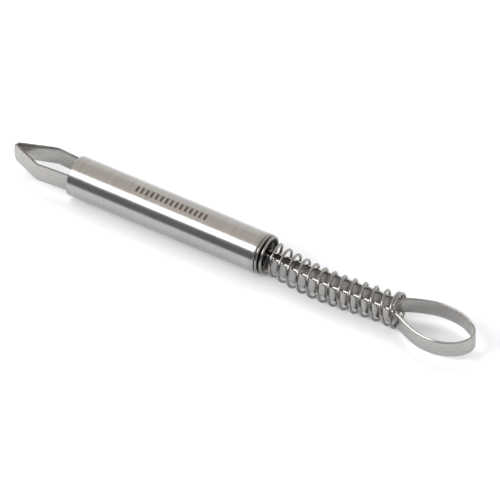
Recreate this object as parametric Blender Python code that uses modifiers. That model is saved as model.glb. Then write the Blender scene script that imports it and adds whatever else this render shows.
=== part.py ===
"""Spring-loaded self-closing tube tweezer, all stainless steel.

One folded strip of spring steel makes the finger loop, two legs and two
jaws.  A tube slides on the strip and squeezes the arms shut, a coil spring
sits on the legs between the tube and the shoulder of the loop.
Long axis = X, jaws towards -X, loop towards +X, strip width roughly along Z,
table at z = 0.  All lengths in metres.
"""
import bpy
import bmesh
import math
from mathutils import Vector

MM = 0.001

# ------------------------------------------------------------ dimensions (mm)
TUBE_OD = 8.0            # outside diameter of the barrel
TUBE_BORE_R = 3.45       # bore radius
TUBE_LEN = 41.0          # barrel length
TUBE_EDGE = 0.28         # rounding of the outer rim

STRIP_T = 0.44           # strip thickness
STRIP_H = 3.66           # strip width (stands on edge)
JAW_H = 3.84             # the arms are a little wider than the loop
STRIP_PITCH = 0.0088     # the strip droops this much (rad) towards the loop

TIP_A = -13.10           # jaw tips, measured along the axis from the mouth
KINK_NEAR_A, KINK_NEAR_Y = -6.75, -2.93
KINK_FAR_A, KINK_FAR_Y = -5.45, 2.85
MOUTH_NEAR_Y, MOUTH_FAR_Y = -2.42, 2.50
WAIST_A = 29.0           # the two halves lie together from here ...
WAIST_B = 36.5           # ... to here
LEG_GAP_HALF = 0.26      # half distance between the strip halves at the waist
LEG_SPREAD = 1.50        # half distance between the legs inside the coil


WIRE_D = 0.56            # spring wire
COIL_SEG = 14            # chords per turn

TUBE_FACETS = 48
# the barrel lies on one of its facets
AXIS_Z = TUBE_OD / 2 * math.cos(math.pi / TUBE_FACETS)
X_MID = 36.672                            # middle of the whole length
Y_MID = 0.1655                            # middle of the whole breadth, off the barrel axis


# ---------------------------------------------------------------- scene reset
for ob in list(bpy.data.objects):
    bpy.data.objects.remove(ob, do_unlink=True)

scene = bpy.context.scene


def collection(name):
    c = bpy.data.collections.new(name)
    scene.collection.children.link(c)
    return c


TOOL = collection("self_closing_tube_tweezer")


def steel(name, colour, rough):
    m = bpy.data.materials.new(name)
    m.use_nodes = True
    b = m.node_tree.nodes["Principled BSDF"]
    b.inputs["Base Color"].default_value = (*colour, 1.0)
    b.inputs["Roughness"].default_value = rough
    b.inputs["Metallic"].default_value = 1.0
    return m


MAT_TUBE = steel("steel_barrel_brushed", (0.60, 0.585, 0.57), 0.28)
MAT_SPRING = steel("steel_spring_wire", (0.50, 0.48, 0.46), 0.25)
MAT_LOOP = steel("steel_loop_strip", (0.56, 0.545, 0.53), 0.33)
MAT_NEAR = steel("steel_near_jaw", (0.56, 0.55, 0.54), 0.34)
MAT_FAR = steel("steel_far_jaw", (0.55, 0.54, 0.53), 0.36)


# -------------------------------------------------------------------- helpers
def curve_through(table, a):
    """Smooth curve through (a, value) stations, straight beyond the ends."""
    n = len(table)
    slope = []
    for i in range(n):
        lo, hi = max(0, i - 1), min(n - 1, i + 1)
        slope.append((table[hi][1] - table[lo][1]) / (table[hi][0] - table[lo][0]))
    if a <= table[0][0]:
        return table[0][1] + slope[0] * (a - table[0][0])
    if a >= table[-1][0]:
        return table[-1][1] + slope[-1] * (a - table[-1][0])
    for i in range(n - 1):
        (a0, v0), (a1, v1) = table[i], table[i + 1]
        if a <= a1:
            w = a1 - a0
            t = (a - a0) / w
            return ((2 * t ** 3 - 3 * t ** 2 + 1) * v0
                    + (t ** 3 - 2 * t ** 2 + t) * w * slope[i]
                    + (-2 * t ** 3 + 3 * t ** 2) * v1
                    + (t ** 3 - t ** 2) * w * slope[i + 1])
    return table[-1][1]


# centre line of the near and of the far half of the strip, (a, y) stations
NEAR_LEG = ((WAIST_A, -LEG_GAP_HALF), (33.0, -LEG_GAP_HALF), (37.0, -0.42),
            (41.0, -0.88), (44.0, -1.26), (48.0, -1.72), (52.0, -2.04),
            (56.0, -2.10), (60.0, -1.90), (64.0, -1.64), (68.0, -1.52),
            (70.2, -1.70))
FAR_LEG = ((WAIST_A, LEG_GAP_HALF), (33.0, LEG_GAP_HALF), (37.0, 0.24),
           (41.0, 0.16), (44.0, 0.22), (48.0, 0.46), (52.0, 0.66),
           (56.0, 0.98), (60.0, 1.20), (64.0, 1.40), (68.0, 1.58),
           (69.6, 1.96))
# the teardrop, from the near shoulder round the end to the far shoulder
LOOP = ((71.9, -2.28), (73.1, -2.84), (75.4, -3.84), (77.8, -4.46),
        (80.1, -4.50), (82.1, -4.14), (83.8, -3.32), (85.2, -2.24),
        (86.05, -0.90), (86.32, 0.35), (85.98, 1.70), (85.15, 2.74),
        (83.7, 3.64), (82.0, 4.42), (80.2, 4.80), (77.8, 4.86),
        (75.7, 4.56), (73.9, 3.98), (72.1, 3.26), (70.8, 2.62))

# the coil: wire-centre position along the axis against turns from the barrel,
# sideways place of its middle, how far it hangs, and its wire-centre radius
COIL_TURNS = 15.45
COIL_A = ((0.0, 41.31), (0.35, 41.32), (0.70, 41.38), (1.0, 41.90),
          (1.35, 41.95), (1.62, 42.12), (2.35, 43.75), (4.35, 47.93),
          (6.35, 52.30), (9.35, 58.73), (12.35, 65.33), (13.45, 67.95),
          (14.15, 69.60), (15.45, 70.42))
COIL_Y = ((41.3, 0.10), (42.3, 0.10), (44.0, -0.02), (48.0, -0.48),
          (51.0, -0.79), (54.0, -0.93), (58.0, -0.77), (62.0, -0.42),
          (66.5, -0.04), (68.5, 0.10), (70.3, 0.20))
COIL_DROP = ((41.3, 0.00), (42.3, 0.10), (44.0, 0.28), (48.0, 0.46),
             (52.0, 0.54), (60.0, 0.58), (66.0, 0.56), (68.5, 0.46),
             (70.3, 0.40))
COIL_R = ((0.0, 3.67), (1.2, 3.65), (1.8, 3.26), (2.3, 2.96), (3.2, 2.99),
          (4.2, 3.03), (12.6, 3.04), (13.3, 3.12), (14.0, 3.28), (15.45, 3.34))
COIL_LEAN = 0.055


def to_world(a, y, h=0.0):
    """Strip coordinates (a along, y across, h up the width) -> world metres."""
    c, s = math.cos(STRIP_PITCH), math.sin(STRIP_PITCH)
    x = a * c - h * s
    z = AXIS_Z - a * s + h * c
    return Vector(((x - X_MID) * MM, (y - Y_MID) * MM, z * MM))


def offset_outline(path, half):
    """Closed outline of a strip of thickness 2*half following an open path."""
    n = len(path)
    left, right = [], []
    for i, p in enumerate(path):
        if i == 0:
            d = (path[1] - p).normalized()
            m = Vector((-d.y, d.x))
            k = 1.0
        elif i == n - 1:
            d = (p - path[i - 1]).normalized()
            m = Vector((-d.y, d.x))
            k = 1.0
        else:
            d0 = (p - path[i - 1]).normalized()
            d1 = (path[i + 1] - p).normalized()
            m = (Vector((-d0.y, d0.x)) + Vector((-d1.y, d1.x))).normalized()
            k = 1.0 / max(0.5, m.dot(Vector((-d1.y, d1.x))))
        left.append(p + m * half * k)
        right.append(p - m * half * k)
    return left + right[::-1]


def extruded_outline(name, outline, half_h, material):
    """Filled flat outline given thickness, then laid into the pitched frame."""
    cu = bpy.data.curves.new(name + "_outline", "CURVE")
    cu.dimensions = "2D"
    cu.fill_mode = "BOTH"
    cu.extrude = half_h * MM
    sp = cu.splines.new("POLY")
    sp.points.add(len(outline) - 1)
    for q, p in zip(sp.points, outline):
        q.co = (p.x * MM, p.y * MM, 0.0, 1.0)
    sp.use_cyclic_u = True
    tmp = bpy.data.objects.new(name + "_tmp", cu)
    TOOL.objects.link(tmp)
    bpy.context.view_layer.update()
    deps = bpy.context.evaluated_depsgraph_get()
    me = bpy.data.meshes.new_from_object(tmp.evaluated_get(deps))
    bpy.data.objects.remove(tmp, do_unlink=True)
    bm = bmesh.new()
    bm.from_mesh(me)
    bmesh.ops.remove_doubles(bm, verts=bm.verts, dist=1e-7)
    for v in bm.verts:
        v.co = to_world(v.co.x / MM, v.co.y / MM, v.co.z / MM)
    bmesh.ops.recalc_face_normals(bm, faces=bm.faces)
    bm.to_mesh(me)
    bm.free()
    me.name = name
    ob = bpy.data.objects.new(name, me)
    me.materials.clear()
    me.materials.append(material)
    TOOL.objects.link(ob)
    return ob


def set_origin(ob, world_point):
    """Move the object origin to a world point without moving the geometry."""
    w = Vector(world_point)
    for v in ob.data.vertices:
        v.co -= w
    ob.location = w


# ----------------------------------------------------------------- the barrel
def make_barrel():
    r0, r1, e = TUBE_OD / 2, TUBE_BORE_R, TUBE_EDGE
    prof = []
    # outer side from the top end down, then back up the bore
    steps = 3
    for i in range(steps + 1):
        t = math.pi / 2 * i / steps
        prof.append((r0 - e + e * math.sin(t), TUBE_LEN - e + e * math.cos(t)))
    for i in range(steps + 1):
        t = math.pi / 2 * i / steps
        prof.append((r0 - e + e * math.cos(t), e - e * math.sin(t)))
    prof += [(r1 + 0.10, 0.0), (r1, 0.10), (r1, TUBE_LEN - 0.10),
             (r1 + 0.10, TUBE_LEN)]
    me = bpy.data.meshes.new("barrel_profile")
    verts = [(x * MM, 0.0, z * MM) for x, z in prof]
    edges = [(i, (i + 1) % len(verts)) for i in range(len(verts))]
    me.from_pydata(verts, edges, [])
    ob = bpy.data.objects.new("barrel_tube", me)
    TOOL.objects.link(ob)
    md = ob.modifiers.new("turn", "SCREW")
    md.axis = "Z"
    md.angle = 2 * math.pi
    md.steps = TUBE_FACETS
    md.render_steps = TUBE_FACETS
    md.use_merge_vertices = True
    md.merge_threshold = 1e-6
    md.use_smooth_shade = True
    me.materials.append(MAT_TUBE)
    # the profile's +Z runs along world +X, from the mouth to the rear end
    # and the ring is turned half a facet so that a flat one lies on the table
    ob.rotation_mode = "ZYX"
    ob.rotation_euler = (math.pi / TUBE_FACETS, math.pi / 2, 0.0)
    ob.location = ((0.0 - X_MID) * MM, -Y_MID * MM, AXIS_Z * MM)
    return ob


# ------------------------------------------------------------ the folded strip
def closed_spline(points, per):
    """Extra points between stations of an open path, rounded smoothly."""
    out = []
    n = len(points)
    for i in range(n - 1):
        p0 = points[max(0, i - 1)]
        p1, p2 = points[i], points[i + 1]
        p3 = points[min(n - 1, i + 2)]
        for k in range(per):
            t = k / per
            out.append(0.5 * ((2 * p1) + (p2 - p0) * t
                              + (2 * p0 - 5 * p1 + 4 * p2 - p3) * t * t
                              + (3 * p1 - p0 - 3 * p2 + p3) * t ** 3))
    out.append(points[-1])
    return out


def loop_path():
    start = WAIST_A + 0.15
    near = [Vector((start, -LEG_GAP_HALF))] + [Vector(p) for p in NEAR_LEG[1:]]
    far = [Vector((start, LEG_GAP_HALF))] + [Vector(p) for p in FAR_LEG[1:]]
    ring = closed_spline([near[-1]] + [Vector(p) for p in LOOP] + [far[-1]], 2)
    return near[:-1] + ring + far[:-1][::-1]


def make_loop():
    path = loop_path()[::-1]
    ob = extruded_outline("loop_strip", offset_outline(path, STRIP_T / 2),
                          STRIP_H / 2, MAT_LOOP)
    return ob


def jaw_path(side):
    """Centre line of one arm from the waist forward to its tip."""
    if side < 0:
        ka, ky, my = KINK_NEAR_A, KINK_NEAR_Y, MOUTH_NEAR_Y
    else:
        ka, ky, my = KINK_FAR_A, KINK_FAR_Y, MOUTH_FAR_Y
    y0 = side * LEG_GAP_HALF
    tip_y = side * (STRIP_T / 2 + 0.02) + TIP_OFF
    pts = [Vector((WAIST_A - 0.15, y0)), Vector((WAIST_A - 2.0, y0)),
           Vector((0.0, my))]
    # small bend radius at the kink
    before = Vector((ka, ky)) + (Vector((0.0, my)) - Vector((ka, ky))).normalized() * 0.55
    after = Vector((ka, ky)) + (Vector((TIP_A, tip_y)) - Vector((ka, ky))).normalized() * 0.55
    mid = (before + after) * 0.25 + Vector((ka, ky)) * 0.5
    pts += [before, mid, after]
    # the last stretch of the jaw lies parallel to the axis where the tips meet
    end = Vector((TIP_A, tip_y))
    d = (end - after).normalized()
    pts += [end - d * 1.4 + Vector((0.0, side * 0.05)), end]
    return pts


TIP_OFF = 0.05


def make_jaw(name, side, material):
    ob = extruded_outline(name, offset_outline(jaw_path(side), STRIP_T / 2),
                          JAW_H / 2, material)
    hinge = to_world(WAIST_A, side * LEG_GAP_HALF)
    set_origin(ob, hinge)
    return ob


# ------------------------------------------------------------- the coil spring
def coil_middle(a):
    """Middle of the coil in world millimetres, x measured along the axis."""
    return Vector((a, curve_through(COIL_Y, a),
                   AXIS_Z - curve_through(COIL_DROP, a)))


def make_spring():
    total = COIL_TURNS
    count = int(round(total * COIL_SEG))
    cu = bpy.data.curves.new("coil_wire", "CURVE")
    cu.dimensions = "3D"
    cu.bevel_depth = WIRE_D / 2 * MM
    cu.bevel_resolution = 2
    cu.use_fill_caps = True
    sp = cu.splines.new("POLY")
    sp.points.add(count)
    for i in range(count + 1):
        turn = total * i / count
        a = curve_through(COIL_A, turn)
        r = curve_through(COIL_R, turn)
        mid = coil_middle(a)
        # each turn leans back a little at the near side and at the bottom
        ax = (coil_middle(a + 0.5) - coil_middle(a - 0.5)
              + Vector((0.0, COIL_LEAN, COIL_LEAN))).normalized()
        if turn < 1.5:            # the closed turns bear square on the barrel
            ax = ax.lerp(Vector((1, 0, 0)), 1 - max(0.0, turn - 0.5)).normalized()
        up = (Vector((0, 0, 1)) - ax * ax.z).normalized()
        out = up.cross(ax)
        ph = 2 * math.pi * (turn - 0.35)
        # right-hand winding: from the top over the near side to the bottom
        p = mid + (up * math.cos(ph) - out * math.sin(ph)) * r
        sp.points[i].co = ((p.x - X_MID) * MM, (p.y - Y_MID) * MM, p.z * MM, 1.0)
    ob = bpy.data.objects.new("coil_spring", cu)
    TOOL.objects.link(ob)
    cu.materials.append(MAT_SPRING)
    bpy.context.view_layer.update()
    deps = bpy.context.evaluated_depsgraph_get()
    me = bpy.data.meshes.new_from_object(ob.evaluated_get(deps))
    bpy.data.objects.remove(ob, do_unlink=True)
    bm = bmesh.new()
    bm.from_mesh(me)
    bmesh.ops.remove_doubles(bm, verts=bm.verts, dist=1e-7)
    bmesh.ops.recalc_face_normals(bm, faces=bm.faces)
    for f in bm.faces:
        f.smooth = True
    bm.to_mesh(me)
    bm.free()
    me.name = "coil_spring"
    out = bpy.data.objects.new("coil_spring", me)
    me.materials.clear()
    me.materials.append(MAT_SPRING)
    TOOL.objects.link(out)
    return out


make_barrel()
make_loop()
make_jaw("near_jaw_arm", -1, MAT_NEAR)
make_jaw("far_jaw_arm", 1, MAT_FAR)
spring = make_spring()
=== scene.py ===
import bpy
import math
import numpy as np
from mathutils import Vector, Matrix

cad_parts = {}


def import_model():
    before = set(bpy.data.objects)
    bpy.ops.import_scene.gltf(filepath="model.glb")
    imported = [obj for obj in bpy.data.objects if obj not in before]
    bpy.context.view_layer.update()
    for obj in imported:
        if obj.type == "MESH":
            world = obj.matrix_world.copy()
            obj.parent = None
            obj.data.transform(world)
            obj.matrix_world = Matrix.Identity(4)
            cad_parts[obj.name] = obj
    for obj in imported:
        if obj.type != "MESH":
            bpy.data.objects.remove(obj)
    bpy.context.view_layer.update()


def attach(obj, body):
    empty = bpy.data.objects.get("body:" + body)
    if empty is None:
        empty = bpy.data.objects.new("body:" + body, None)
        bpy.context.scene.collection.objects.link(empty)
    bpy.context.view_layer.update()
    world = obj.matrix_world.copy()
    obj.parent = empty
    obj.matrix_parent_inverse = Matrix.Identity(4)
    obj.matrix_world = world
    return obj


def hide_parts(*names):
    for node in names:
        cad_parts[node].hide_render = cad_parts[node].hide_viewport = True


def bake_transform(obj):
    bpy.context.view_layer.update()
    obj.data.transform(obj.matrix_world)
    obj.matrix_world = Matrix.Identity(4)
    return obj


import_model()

MM = 0.001

# ------------------------------------------------------------ dimensions (mm)
TUBE_R, BORE_R, TUBE_LEN = 4.0, 3.45, 41.0
STRIP_T, STRIP_H, JAW_H, PITCH = 0.44, 3.66, 3.96, 0.0088
TIP_A = -13.35
X_MID, Y_MID, AXIS_Z = 36.672, 0.1655, 3.9914
WAIST_A, GAP = 29.0, 0.26
WIRE_D = 0.56

BODY = "strip"


def curve_through(tab, a):
    """Smooth curve through (a, value) stations, straight beyond the ends."""
    n = len(tab)
    slope = []
    for i in range(n):
        lo, hi = max(0, i - 1), min(n - 1, i + 1)
        slope.append((tab[hi][1] - tab[lo][1]) / (tab[hi][0] - tab[lo][0]))
    if a <= tab[0][0]:
        return tab[0][1] + slope[0] * (a - tab[0][0])
    if a >= tab[-1][0]:
        return tab[-1][1] + slope[-1] * (a - tab[-1][0])
    for i in range(n - 1):
        (a0, v0), (a1, v1) = tab[i], tab[i + 1]
        if a <= a1:
            w = a1 - a0
            t = (a - a0) / w
            return ((2 * t ** 3 - 3 * t ** 2 + 1) * v0
                    + (t ** 3 - 2 * t ** 2 + t) * w * slope[i]
                    + (-2 * t ** 3 + 3 * t ** 2) * v1
                    + (t ** 3 - t ** 2) * w * slope[i + 1])
    return tab[-1][1]


# centre line of the near and of the far half of the strip, (a, y) stations
NEAR_LEG = ((WAIST_A, -GAP), (33.0, -GAP), (37.0, -0.42),
            (41.0, -0.88), (44.0, -1.26), (48.0, -1.72), (52.0, -2.04),
            (56.0, -2.10), (60.0, -1.90), (64.0, -1.64), (68.0, -1.52),
            (70.2, -1.70))
FAR_LEG = ((WAIST_A, GAP), (33.0, GAP), (37.0, 0.24),
           (41.0, 0.16), (44.0, 0.22), (48.0, 0.46), (52.0, 0.66),
           (56.0, 0.98), (60.0, 1.20), (64.0, 1.40), (68.0, 1.58),
           (69.6, 1.96))
LOOP = ((71.9, -2.28), (73.1, -2.84), (75.4, -3.84), (77.8, -4.46),
        (80.1, -4.50), (82.1, -4.14), (83.8, -3.32), (85.2, -2.24),
        (86.05, -0.90), (86.32, 0.35), (85.98, 1.70), (85.15, 2.74),
        (83.7, 3.64), (82.0, 4.42), (80.2, 4.80), (77.8, 4.86),
        (75.7, 4.56), (73.9, 3.98), (72.1, 3.26), (70.8, 2.62))
COIL_TURNS = 15.45
COIL_A = ((0.0, 41.31), (0.35, 41.32), (0.70, 41.38), (1.0, 41.90),
          (1.35, 41.95), (1.62, 42.12), (2.35, 43.75), (4.35, 47.93),
          (6.35, 52.30), (9.35, 58.73), (12.35, 65.33), (13.45, 67.95),
          (14.15, 69.60), (15.45, 70.42))
COIL_Y = ((41.3, 0.10), (42.3, 0.10), (44.0, -0.02), (48.0, -0.48),
          (51.0, -0.79), (54.0, -0.93), (58.0, -0.77), (62.0, -0.42),
          (66.5, -0.04), (68.5, 0.10), (70.3, 0.20))
COIL_DROP = ((41.3, 0.00), (42.3, 0.10), (44.0, 0.28), (48.0, 0.46),
             (52.0, 0.54), (60.0, 0.58), (66.0, 0.56), (68.5, 0.46),
             (70.3, 0.40))
COIL_R = ((0.0, 3.67), (1.2, 3.65), (1.8, 3.26), (2.3, 2.96), (3.2, 2.99),
          (4.2, 3.03), (12.6, 3.04), (13.3, 3.12), (14.0, 3.28), (15.45, 3.34))
COIL_LEAN = 0.055


def world(a, y, h=0.0):
    c, s = math.cos(PITCH), math.sin(PITCH)
    return ((a * c - h * s - X_MID) * MM, (y - Y_MID) * MM,
            (AXIS_Z - a * s + h * c) * MM)


def smooth_path(pts, step=0.08, sigma=0.5, keep_ends=True):
    """Resample a polyline evenly and round its corners by local averaging."""
    p = np.array(pts, float)
    seg = np.hypot(*np.diff(p, axis=0).T)
    s = np.concatenate([[0], np.cumsum(seg)])
    n = int(s[-1] / step) + 1
    t = np.linspace(0, s[-1], n)
    q = np.stack([np.interp(t, s, p[:, 0]), np.interp(t, s, p[:, 1])], 1)
    k = int(4 * sigma / step) + 1
    d0, d1 = q[0] - q[1], q[-1] - q[-2]
    ext = np.concatenate([[q[0] + d0 * i for i in range(k, 0, -1)], q,
                          [q[-1] + d1 * i for i in range(1, k + 1)]])
    w = np.exp(-0.5 * (np.arange(-k, k + 1) * step / sigma) ** 2)
    w /= w.sum()
    out = np.stack([np.convolve(ext[:, i], w, mode="valid") for i in (0, 1)], 1)
    return out


# ------------------------------------------------------------------ materials
def nodes_of(mat):
    mat.use_nodes = True
    nt = mat.node_tree
    return nt, nt.nodes, nt.links, nt.nodes["Principled BSDF"]


def steel(name, base, rough, rough_amp=0.08, grain=(40.0, 900.0), bump=0.05,
          tint=0.06, aniso=0.0, blotch=60.0, dist=0.00002,
          grain_dark=0.88):
    """Brushed steel.  UV u runs along the piece and v across it, in metres."""
    m = bpy.data.materials.new(name)
    nt, n, l, b = nodes_of(m)
    b.inputs["Metallic"].default_value = 1.0
    b.inputs["Anisotropic"].default_value = aniso
    uv = n.new("ShaderNodeUVMap")
    mp = n.new("ShaderNodeMapping")
    mp.inputs["Scale"].default_value = (grain[0], grain[1], 1.0)
    l.new(uv.outputs["UV"], mp.inputs["Vector"])
    fine = n.new("ShaderNodeTexNoise")
    fine.inputs["Scale"].default_value = 40.0
    fine.inputs["Detail"].default_value = 4.0
    fine.inputs["Roughness"].default_value = 0.65
    l.new(mp.outputs["Vector"], fine.inputs["Vector"])
    tc = n.new("ShaderNodeTexCoord")
    big = n.new("ShaderNodeTexNoise")
    big.inputs["Scale"].default_value = blotch
    big.inputs["Detail"].default_value = 5.0
    big.inputs["Roughness"].default_value = 0.55
    l.new(tc.outputs["Object"], big.inputs["Vector"])
    # colour: slow blotches, then fine grain on top
    ramp = n.new("ShaderNodeValToRGB")
    lo = [c * (1 - tint) for c in base]
    hi = [min(1.0, c * (1 + tint)) for c in base]
    ramp.color_ramp.elements[0].position = 0.30
    ramp.color_ramp.elements[0].color = (*lo, 1)
    ramp.color_ramp.elements[1].position = 0.70
    ramp.color_ramp.elements[1].color = (*hi, 1)
    l.new(big.outputs["Fac"], ramp.inputs["Fac"])
    gr = n.new("ShaderNodeValToRGB")
    gr.color_ramp.elements[0].position = 0.36
    gr.color_ramp.elements[0].color = (grain_dark, grain_dark, grain_dark, 1)
    gr.color_ramp.elements[1].position = 0.62
    gr.color_ramp.elements[1].color = (1.0, 1.0, 1.0, 1)
    l.new(fine.outputs["Fac"], gr.inputs["Fac"])
    mul = n.new("ShaderNodeMix")
    mul.data_type = "RGBA"
    mul.blend_type = "MULTIPLY"
    mul.inputs["Factor"].default_value = 1.0
    l.new(ramp.outputs["Color"], mul.inputs["A"])
    l.new(gr.outputs["Color"], mul.inputs["B"])
    l.new(mul.outputs["Result"], b.inputs["Base Color"])
    rr = n.new("ShaderNodeMapRange")
    rr.inputs["From Min"].default_value = 0.2
    rr.inputs["From Max"].default_value = 0.8
    rr.inputs["To Min"].default_value = max(0.03, rough - rough_amp)
    rr.inputs["To Max"].default_value = rough + rough_amp
    l.new(fine.outputs["Fac"], rr.inputs["Value"])
    l.new(rr.outputs["Result"], b.inputs["Roughness"])
    bp = n.new("ShaderNodeBump")
    bp.inputs["Strength"].default_value = bump
    bp.inputs["Distance"].default_value = dist
    l.new(fine.outputs["Fac"], bp.inputs["Height"])
    l.new(bp.outputs["Normal"], b.inputs["Normal"])
    return m


M_TUBE = steel("brushed_barrel_steel", (0.415, 0.406, 0.398), 0.215, 0.05,
               grain=(120.0, 2.4), bump=0.20, tint=0.06, blotch=120.0,
               grain_dark=0.86)
M_RIM = steel("turned_rim_steel", (0.38, 0.37, 0.36), 0.22, 0.06,
              grain=(100.0, 12.0), bump=0.10, tint=0.05)
M_BORE = steel("drawn_bore_steel", (0.30, 0.29, 0.28), 0.38, 0.08,
               grain=(60.0, 60.0), bump=0.20, tint=0.10)
M_STRIP = steel("satin_strip_steel", (0.430, 0.416, 0.402), 0.27, 0.07,
                grain=(5.0, 110.0), bump=0.30, tint=0.06, grain_dark=0.86)
M_EDGE = steel("rounded_strip_edge_steel", (0.40, 0.39, 0.38), 0.20, 0.06,
               grain=(14.0, 90.0), bump=0.15, tint=0.12, blotch=260.0)
# The jaw edges are the same steel as the strip edges, painted at about half the tone: painted shade that
# makes the jaws' top edges read as dark lines.
M_JAW_EDGE_PAINTED_SHADE = steel("jaw_edge_steel_with_painted_shade", (0.20, 0.195, 0.19), 0.24, 0.06,
                   grain=(14.0, 90.0), bump=0.15, tint=0.15, blotch=260.0)
M_WIRE = steel("drawn_spring_wire_steel", (0.298, 0.283, 0.270), 0.20, 0.04,
               grain=(6.0, 130.0), bump=0.12, tint=0.12, blotch=260.0)


def plain(name, colour, rough, metallic=0.0, var=0.10, scale=900.0):
    m = bpy.data.materials.new(name)
    nt, n, l, b = nodes_of(m)
    b.inputs["Metallic"].default_value = metallic
    b.inputs["Roughness"].default_value = rough
    tc = n.new("ShaderNodeTexCoord")
    t = n.new("ShaderNodeTexNoise")
    t.inputs["Scale"].default_value = scale
    t.inputs["Detail"].default_value = 3.0
    l.new(tc.outputs["Object"], t.inputs["Vector"])
    r = n.new("ShaderNodeValToRGB")
    r.color_ramp.elements[0].position = 0.3
    r.color_ramp.elements[0].color = (*[c * (1 - var) for c in colour], 1)
    r.color_ramp.elements[1].position = 0.7
    r.color_ramp.elements[1].color = (*[min(1, c * (1 + var)) for c in colour], 1)
    l.new(t.outputs["Fac"], r.inputs["Fac"])
    l.new(r.outputs["Color"], b.inputs["Base Color"])
    return m


M_MARK = plain("heat_darkened_mark", (0.050, 0.033, 0.022), 0.6, 0.0, 0.25)


# --------------------------------------------------------------- mesh builder
def mesh_object(name, verts, faces, uvs, mats, face_mat=None, smooth=True):
    me = bpy.data.meshes.new(name)
    me.from_pydata([tuple(v) for v in verts], [], faces)
    for m in mats:
        me.materials.append(m)
    if face_mat is not None:
        me.polygons.foreach_set("material_index", face_mat)
    me.polygons.foreach_set("use_smooth", [smooth] * len(me.polygons))
    lay = me.uv_layers.new(name="UVMap")
    flat = []
    for f in uvs:
        for uv in f:
            flat += [uv[0], uv[1]]
    lay.data.foreach_set("uv", flat)
    me.update()
    ob = bpy.data.objects.new(name, me)
    bpy.context.scene.collection.objects.link(ob)
    return ob


def loft(name, rings, along, around, mats, ring_mat, cap=True, closed=False):
    """Skin of equal rings.  along/around are UV lengths in metres."""
    n, k = len(rings), len(rings[0])
    verts = [v for r in rings for v in r]
    faces, uvs, fm = [], [], []
    last = n if closed else n - 1
    for i in range(last):
        j = (i + 1) % n
        u0 = along[i]
        u1 = along[i + 1] if i + 1 < len(along) else along[i] + (along[1] - along[0])
        for q in range(k):
            p = (q + 1) % k
            v0 = around[q]
            v1 = around[q + 1]
            faces.append((i * k + q, i * k + p, j * k + p, j * k + q))
            uvs.append(((u0, v0), (u0, v1), (u1, v1), (u1, v0)))
            fm.append(ring_mat[q])
    if cap and not closed:
        faces.append(tuple(range(k - 1, -1, -1)))
        uvs.append([(0.0, around[q]) for q in range(k - 1, -1, -1)])
        fm.append(ring_mat[0])
        faces.append(tuple((n - 1) * k + q for q in range(k)))
        uvs.append([(along[-1], around[q]) for q in range(k)])
        fm.append(ring_mat[0])
    return mesh_object(name, verts, faces, uvs, mats, fm)


def strip_section(outer, half_t=STRIP_T / 2, half_h=STRIP_H / 2,
                  ct=(0.21, 0.08), ch=(0.175, 0.07), e=0.022):
    """Flat section with dressed arrises, as (across, up) points, anticlockwise.

    The broad dressed arris is on the outer side (outer = +1 or -1 across)."""
    (to, ti), (ho, hi) = ct, ch
    tr, hr, tl, hl = (to, ho, ti, hi) if outer > 0 else (ti, hi, to, ho)
    raw = [(half_t, -half_h + hr), (half_t, half_h - hr), (half_t - tr, half_h),
           (-half_t + tl, half_h), (-half_t, half_h - hl), (-half_t, -half_h + hl),
           (-half_t + tl, -half_h), (half_t - tr, -half_h)]
    pts = []
    for i, p in enumerate(raw):
        for q in (raw[i - 1], raw[(i + 1) % len(raw)]):
            d = math.hypot(q[0] - p[0], q[1] - p[1])
            pts.append((p[0] + (q[0] - p[0]) / d * e, p[1] + (q[1] - p[1]) / d * e))
    # extra points down the two flat sides so the skin stays even
    out = []
    for i, p in enumerate(pts):
        q = pts[(i + 1) % len(pts)]
        out.append(p)
        if abs(q[1] - p[1]) > 1.0:
            for f in np.linspace(0, 1, 8)[1:-1]:
                out.append((p[0] + (q[0] - p[0]) * f, p[1] + (q[1] - p[1]) * f))
    return out


def strip_object(name, path, outer, nose=None):
    if nose:
        sec = strip_section(outer, half_h=JAW_H / 2, ct=(0.10, 0.07), ch=(0.08, 0.06))
    else:
        sec = strip_section(outer)
    hh = (JAW_H if nose else STRIP_H) / 2
    k = len(sec)
    p = np.array(path)
    d = np.gradient(p, axis=0)
    d /= np.linalg.norm(d, axis=1)[:, None]
    nrm = np.stack([-d[:, 1], d[:, 0]], 1)
    s = np.concatenate([[0], np.cumsum(np.hypot(*np.diff(p, axis=0).T))])
    total = s[-1]
    rings = []
    for i in range(len(p)):
        ring = []
        back = total - s[i]
        grow, drop = 1.0, 0.0
        if nose:
            f = max(0.0, 1 - back / 7.0)
            grow = 1 + (nose / JAW_H - 1) * f
            drop = 0.05 + (0.28 if outer > 0 else 0.0) * f
        for (u, h) in sec:
            a, y = p[i] + nrm[i] * (-u)
            x = abs(h) / hh
            if nose and back < 2.0:
                # slightly bowed nose with rounded corners at the free end
                pull = (0.34 if h < 0 else 0.20) * x ** 2
                pull += (0.42 if h < 0 else 0.16) * max(0.0, x - 0.74) ** 2 / 0.0676
                f = 1 - back / 2.0
                a, y = np.array([a, y]) - d[i] * pull * f * f
                if back < 0.12:     # broken edge round the very end
                    a, y = np.array([a, y]) + nrm[i] * u * 0.35 * (1 - back / 0.12)
            ring.append(world(a, y, h * grow - drop))
        rings.append(ring)
    per = [0.0]
    for i in range(k):
        q = sec[(i + 1) % k]
        per.append(per[-1] + math.hypot(q[0] - sec[i][0], q[1] - sec[i][1]) * MM)
    rm = []
    for i in range(k):
        q = sec[(i + 1) % k]
        my = abs((sec[i][1] + q[1]) / 2)
        rm.append(1 if my > hh - 0.12 else 0)
    return loft(name, rings, [x * MM for x in s], per,
                [M_STRIP, M_JAW_EDGE_PAINTED_SHADE if nose else M_EDGE], rm)


# ----------------------------------------------------------------- the strip
SEAM_A = 33.0


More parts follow.
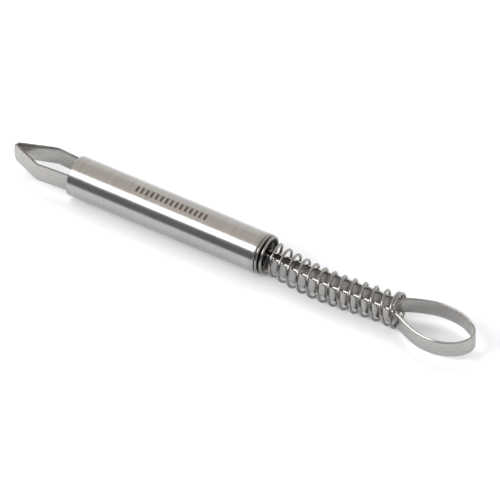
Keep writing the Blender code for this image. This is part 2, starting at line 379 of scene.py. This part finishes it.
def spline(points, per):
    out = []
    pts = [np.array(q, float) for q in points]
    n = len(pts)
    for i in range(n - 1):
        p0, p1, p2, p3 = pts[max(0, i - 1)], pts[i], pts[i + 1], pts[min(n - 1, i + 2)]
        for j in range(per):
            t = j / per
            out.append(0.5 * ((2 * p1) + (p2 - p0) * t
                              + (2 * p0 - 5 * p1 + 4 * p2 - p3) * t * t
                              + (3 * p1 - p0 - 3 * p2 + p3) * t ** 3))
    out.append(pts[-1])
    return out


def loop_path():
    near = [q for q in NEAR_LEG if q[0] >= SEAM_A]
    far = [q for q in FAR_LEG if q[0] >= SEAM_A]
    return spline(near + list(LOOP) + far[::-1], 8)[::-1]


loop = strip_object("loop_and_legs", smooth_path(loop_path(), 0.09, 0.40), -1)
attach(loop, BODY)
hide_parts("loop_strip")


def jaw_path(side):
    ka, ky, my = ((-6.75, -2.93, -2.42) if side < 0 else (-5.45, 2.85, 2.50))
    tip_y = side * (STRIP_T / 2 + 0.02) + 0.05
    pts = [(SEAM_A, side * GAP), (WAIST_A - 2.0, side * GAP), (0.0, my),
           (ka, ky)]
    e = np.array([TIP_A, tip_y])
    d = e - np.array([ka, ky])
    d /= np.linalg.norm(d)
    pts += [tuple(e - d * 1.4 + np.array([0.0, side * 0.05])), tuple(e)]
    return pts


for side, body, name, node in ((-1, "near_jaw", "near_arm_and_jaw", "near_jaw_arm"),
                               (1, "far_jaw", "far_arm_and_jaw", "far_jaw_arm")):
    ob = strip_object(name, smooth_path(jaw_path(side), 0.07, 0.19), side, nose=4.12 if side < 0 else 3.80)
    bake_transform(ob)
    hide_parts(node)


# ---------------------------------------------------------------- the barrel
def barrel():
    prof = []        # (radius, a, material)
    e = 0.30
    for i in range(9):
        t = math.pi / 2 * i / 8
        prof.append((TUBE_R - e + e * math.sin(t), TUBE_LEN - e + e * math.cos(t), 1))
    n_out = 60
    for i in range(1, n_out):
        prof.append((TUBE_R, TUBE_LEN - e - (TUBE_LEN - 2 * e) * i / n_out, 0))
    for i in range(9):
        t = math.pi / 2 * i / 8
        prof.append((TUBE_R - e + e * math.cos(t), e - e * math.sin(t), 1))
    prof.append((BORE_R + 0.12, 0.0, 1))
    prof.append((BORE_R + 0.04, 0.03, 1))
    prof.append((BORE_R, 0.12, 2))
    for i in range(1, 24):
        prof.append((BORE_R, 0.12 + (TUBE_LEN - 0.24) * i / 24, 2))
    prof.append((BORE_R, TUBE_LEN - 0.12, 1))
    prof.append((BORE_R + 0.04, TUBE_LEN - 0.03, 1))
    prof.append((BORE_R + 0.12, TUBE_LEN, 1))
    n = 192
    k = len(prof)
    verts, faces, uvs, fm = [], [], [], []
    for j in range(n):
        ph = 2 * math.pi * j / n
        for r, a, _ in prof:
            verts.append(((a - X_MID) * MM, (-Y_MID + r * math.cos(ph)) * MM,
                          (AXIS_Z + r * math.sin(ph)) * MM))
    length = [0.0]
    for q in range(k):
        p = prof[(q + 1) % k]
        length.append(length[-1] + math.hypot(p[0] - prof[q][0], p[1] - prof[q][1]) * MM)
    for j in range(n):
        w = (j + 1) % n
        v0 = TUBE_R * 2 * math.pi * j / n * MM
        v1 = TUBE_R * 2 * math.pi * (j + 1) / n * MM
        for q in range(k):
            p = (q + 1) % k
            faces.append((j * k + q, w * k + q, w * k + p, j * k + p))
            uvs.append(((length[q], v0), (length[q], v1), (length[q + 1], v1),
                        (length[q + 1], v0)))
            fm.append(prof[q][2])
    return mesh_object("barrel_sleeve", verts, faces, uvs,
                       [M_TUBE, M_RIM, M_BORE], fm)


tube = barrel()
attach(tube, "barrel")
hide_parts("barrel_tube")


def ticks():
    """A plain row of short etched bars along the upper front of the barrel."""
    verts, faces, uvs = [], [], []
    r_out, r_in = TUBE_R + 0.010, TUBE_R - 0.03
    mid = math.radians(180.0 - 81.0)          # direction seen from the axis
    for i in range(15):
        a0 = 13.7 + i * 1.06
        half = 0.66
        w = 0.50
        seg = 6
        base = len(verts)
        for r in (r_in, r_out):
            for x in (a0, a0 + w):
                for s in range(seg + 1):
                    ph = mid + (s / seg - 0.5) * 2 * half / TUBE_R
                    verts.append(((x - X_MID) * MM,
                                  (-Y_MID + r * math.cos(ph)) * MM,
                                  (AXIS_Z + r * math.sin(ph)) * MM))
        m = seg + 1
        A, B, C, D = base, base + m, base + 2 * m, base + 3 * m
        for s in range(seg):
            faces += [(A + s, A + s + 1, B + s + 1, B + s),
                      (C + s, D + s, D + s + 1, C + s + 1),
                      (A + s, C + s, C + s + 1, A + s + 1),
                      (B + s, B + s + 1, D + s + 1, D + s)]
        faces += [(A, B, D, C), (A + seg, C + seg, D + seg, B + seg)]
    uvs = [[(0.0, 0.0)] * len(f) for f in faces]
    ob = mesh_object("barrel_etched_bars", verts, faces, uvs, [M_MARK], smooth=False)
    me = ob.data
    import bmesh
    bm = bmesh.new()
    bm.from_mesh(me)
    bmesh.ops.recalc_face_normals(bm, faces=bm.faces)
    bm.to_mesh(me)
    bm.free()
    return ob


marks = ticks()
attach(marks, "barrel")


# ------------------------------------------------------------ the coil spring
def gauss(v, sigma):
    k = int(4 * sigma) + 1
    w = np.exp(-0.5 * (np.arange(-k, k + 1) / sigma) ** 2)
    w /= w.sum()
    ext = np.concatenate([v[0] + (v[0] - v[1:k + 1][::-1]), v,
                          v[-1] + (v[-1] - v[-k - 1:-1][::-1])])
    return np.convolve(ext, w, mode="valid")


def coil():
    total = COIL_TURNS
    per_turn = 90
    n = int(total * per_turn)
    tt = np.linspace(0, total, n + 1)
    a = gauss(np.array([curve_through(COIL_A, t) for t in tt]), 5)
    r = gauss(np.array([curve_through(COIL_R, t) for t in tt]), 16)
    yc, zc, dy, dz = (gauss(np.array([f(x) for x in a]), 12) for f in (
        lambda x: curve_through(COIL_Y, x),
        lambda x: AXIS_Z - curve_through(COIL_DROP, x),
        lambda x: curve_through(COIL_Y, x + 0.5) - curve_through(COIL_Y, x - 0.5),
        lambda x: curve_through(COIL_DROP, x - 0.5) - curve_through(COIL_DROP, x + 0.5)))
    mid = np.stack([a, yc, zc], 1)
    ax = np.stack([np.ones(n + 1), dy + COIL_LEAN, dz + COIL_LEAN], 1)
    # the closed turns bear square on the barrel
    f = np.clip(tt - 0.5, 0, 1)[:, None]
    ax = ax * f + np.array([[1.0, 0.0, 0.0]]) * (1 - f)
    ax /= np.linalg.norm(ax, axis=1)[:, None]
    up = np.array([[0.0, 0.0, 1.0]]) - ax * ax[:, 2:3]
    up /= np.linalg.norm(up, axis=1)[:, None]
    out = np.cross(up, ax)
    ph = 2 * math.pi * (tt - 0.35)
    radial = up * np.cos(ph)[:, None] - out * np.sin(ph)[:, None]
    pts = mid + radial * r[:, None] - np.array([[X_MID, Y_MID, 0.0]])
    tan = np.gradient(pts, axis=0)
    tan /= np.linalg.norm(tan, axis=1)[:, None]
    radial = radial - tan * (radial * tan).sum(1)[:, None]
    radial /= np.linalg.norm(radial, axis=1)[:, None]
    side = np.cross(tan, radial)
    k = 16
    rings, rad = [], WIRE_D / 2
    s = np.concatenate([[0], np.cumsum(np.linalg.norm(np.diff(pts, axis=0), axis=1))])
    for i in range(n + 1):
        end = min(s[i], s[-1] - s[i])
        f = 1.0
        if end < 0.12:          # slightly broken edge at the cut ends
            f = 0.80 + 0.20 * math.sqrt(max(0.0, 1 - (1 - end / 0.12) ** 2))
        ring = []
        for q in range(k):
            t = 2 * math.pi * q / k
            v = pts[i] + (radial[i] * math.cos(t) + side[i] * math.sin(t)) * rad * f
            ring.append(tuple(v * MM))
        rings.append(ring)
    around = [2 * math.pi * rad * q / k * MM for q in range(k + 1)]
    return loft("spring_wire", rings, list(s * MM), around, [M_WIRE], [0] * k)


wire = coil()
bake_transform(wire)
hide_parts("coil_spring")


# ---------------------------------------------------------------------- stage
def card(name, centre, normal, width, height, strength, colour=(1, 1, 1)):
    """A studio card that only shows as a reflection in the metal."""
    w, h = width / 2, height / 2
    me = bpy.data.meshes.new(name)
    me.from_pydata([(-w, -h, 0), (w, -h, 0), (w, h, 0), (-w, h, 0)], [], [(0, 1, 2, 3)])
    ob = bpy.data.objects.new(name, me)
    bpy.context.scene.collection.objects.link(ob)
    z = Vector(normal).normalized()
    x = Vector((1, 0, 0))
    y = z.cross(x).normalized()
    x = y.cross(z).normalized()
    ob.matrix_world = Matrix(((x.x, y.x, z.x, centre[0]), (x.y, y.y, z.y, centre[1]),
                              (x.z, y.z, z.z, centre[2]), (0, 0, 0, 1)))
    m = bpy.data.materials.new(name)
    m.use_nodes = True
    nt = m.node_tree
    nt.nodes.clear()
    em = nt.nodes.new("ShaderNodeEmission")
    em.inputs["Color"].default_value = (*colour, 1)
    em.inputs["Strength"].default_value = strength
    out = nt.nodes.new("ShaderNodeOutputMaterial")
    nt.links.new(em.outputs[0], out.inputs["Surface"])
    me.materials.append(m)
    ob.visible_camera = False
    ob.visible_diffuse = False
    ob.visible_shadow = False
    ob.visible_transmission = False
    ob.visible_volume_scatter = False
    return ob


def arc_card(name, lo, hi, dist, width, strength, colour=(1, 1, 1), x=None):
    """Card between two heights above the front horizon, in degrees (over 90 is behind)."""
    m = math.radians((lo + hi) / 2)
    c = Vector((-0.38 * dist if x is None else x, -math.cos(m) * dist * 0.93, math.sin(m) * dist * 0.93))
    h = 2 * dist * 0.93 * math.tan(math.radians((hi - lo) / 2))
    n = -Vector((0, c.y, c.z))
    return card(name, tuple(c), tuple(n), width, h, strength, colour)


arc_card("card_bright", 40.5, 65.0, 0.80, 1.40, 6.2, (1.0, 0.995, 0.985), -0.82)
arc_card("card_above", 69.0, 138.0, 0.90, 2.6, 0.87, (1.07, 1.0, 0.92))
arc_card("card_behind", 140.0, 179.0, 0.90, 3.2, 1.12, (1.02, 1.0, 0.97))
card("card_dark", (-0.06, -0.030, 0.0135), (0, 1, 0), 0.40, 0.026, 0.235, (0.96, 0.94, 1.0))

floor_me = bpy.data.meshes.new("floor")
floor_me.from_pydata([(-3, -3, 0), (3, -3, 0), (3, 3, 0), (-3, 3, 0)], [], [(0, 1, 2, 3)])
floor = bpy.data.objects.new("floor", floor_me)
bpy.context.scene.collection.objects.link(floor)
floor.location = (0, 0, -0.00002)
fm = bpy.data.materials.new("pale_paper")
fnt, fn, fl, fb = nodes_of(fm)
fb.inputs["Base Color"].default_value = (0.86, 0.86, 0.86, 1)
fb.inputs["Roughness"].default_value = 0.9
fb.inputs["Specular IOR Level"].default_value = 0.1
floor_me.materials.append(fm)

w = bpy.data.worlds.new("soft_room")
bpy.context.scene.world = w
w.use_nodes = True
bg = w.node_tree.nodes["Background"]
bg.inputs["Color"].default_value = (0.95, 0.975, 1.0, 1)
bg.inputs["Strength"].default_value = 0.86


def area(name, pos, target, size, power, colour=(1, 1, 1), glossy=False):
    d = bpy.data.lights.new(name, "AREA")
    d.shape = "RECTANGLE"
    d.size, d.size_y = size
    d.energy = power
    d.color = colour
    ob = bpy.data.objects.new(name, d)
    bpy.context.scene.collection.objects.link(ob)
    ob.location = pos
    z = (Vector(pos) - Vector(target)).normalized()
    ob.rotation_euler = z.to_track_quat("Z", "Y").to_euler()
    ob.visible_glossy = glossy
    ob.visible_camera = False
    return ob


area("dome_top", (-0.2, 0.1, 1.0), (0, 0, 0), (2.4, 2.0), 3.6, (1.0, 0.99, 0.98))
area("key_back_left", (-0.42, 0.42, 0.62), (0, 0, 0), (0.45, 0.45), 2.3, (1.0, 0.97, 0.93))
area("fill_front_left", (-0.60, -0.66, 0.60), (0, 0, 0), (0.50, 0.38), 7.2, (0.97, 0.985, 1.0))

# --------------------------------------------------------------------- camera
AZ, EL = math.radians(30.8), math.radians(44.6)
PX = 5.3130                       # pixels per millimetre at the object
DIST = 3.7
R = Vector((math.cos(AZ), math.sin(AZ), 0))
V = Vector((math.sin(AZ) * math.cos(EL), -math.cos(AZ) * math.cos(EL), math.sin(EL)))
U = V.cross(R)
mouth = Vector(((0 - X_MID) * MM, -Y_MID * MM, AXIS_Z * MM))
aim = mouth - R * ((76.02 - 250.0) / PX * MM) - U * ((250.0 - 175.19) / PX * MM)
cam_d = bpy.data.cameras.new("camera")
cam = bpy.data.objects.new("camera", cam_d)
bpy.context.scene.collection.objects.link(cam)
cam_d.sensor_width = 36.0
cam_d.lens = 36.0 * DIST / (500.0 / PX * MM)
cam_d.clip_start, cam_d.clip_end = 0.1, 20.0
cam_d.dof.use_dof = False
p = aim + V * DIST
cam.matrix_world = Matrix(((R.x, U.x, V.x, p.x), (R.y, U.y, V.y, p.y),
                           (R.z, U.z, V.z, p.z), (0, 0, 0, 1)))
bpy.context.scene.camera = cam
bpy.context.scene.view_settings.view_transform = "Standard"
bpy.context.scene.view_settings.look = "None"

bpy.context.view_layer.update()
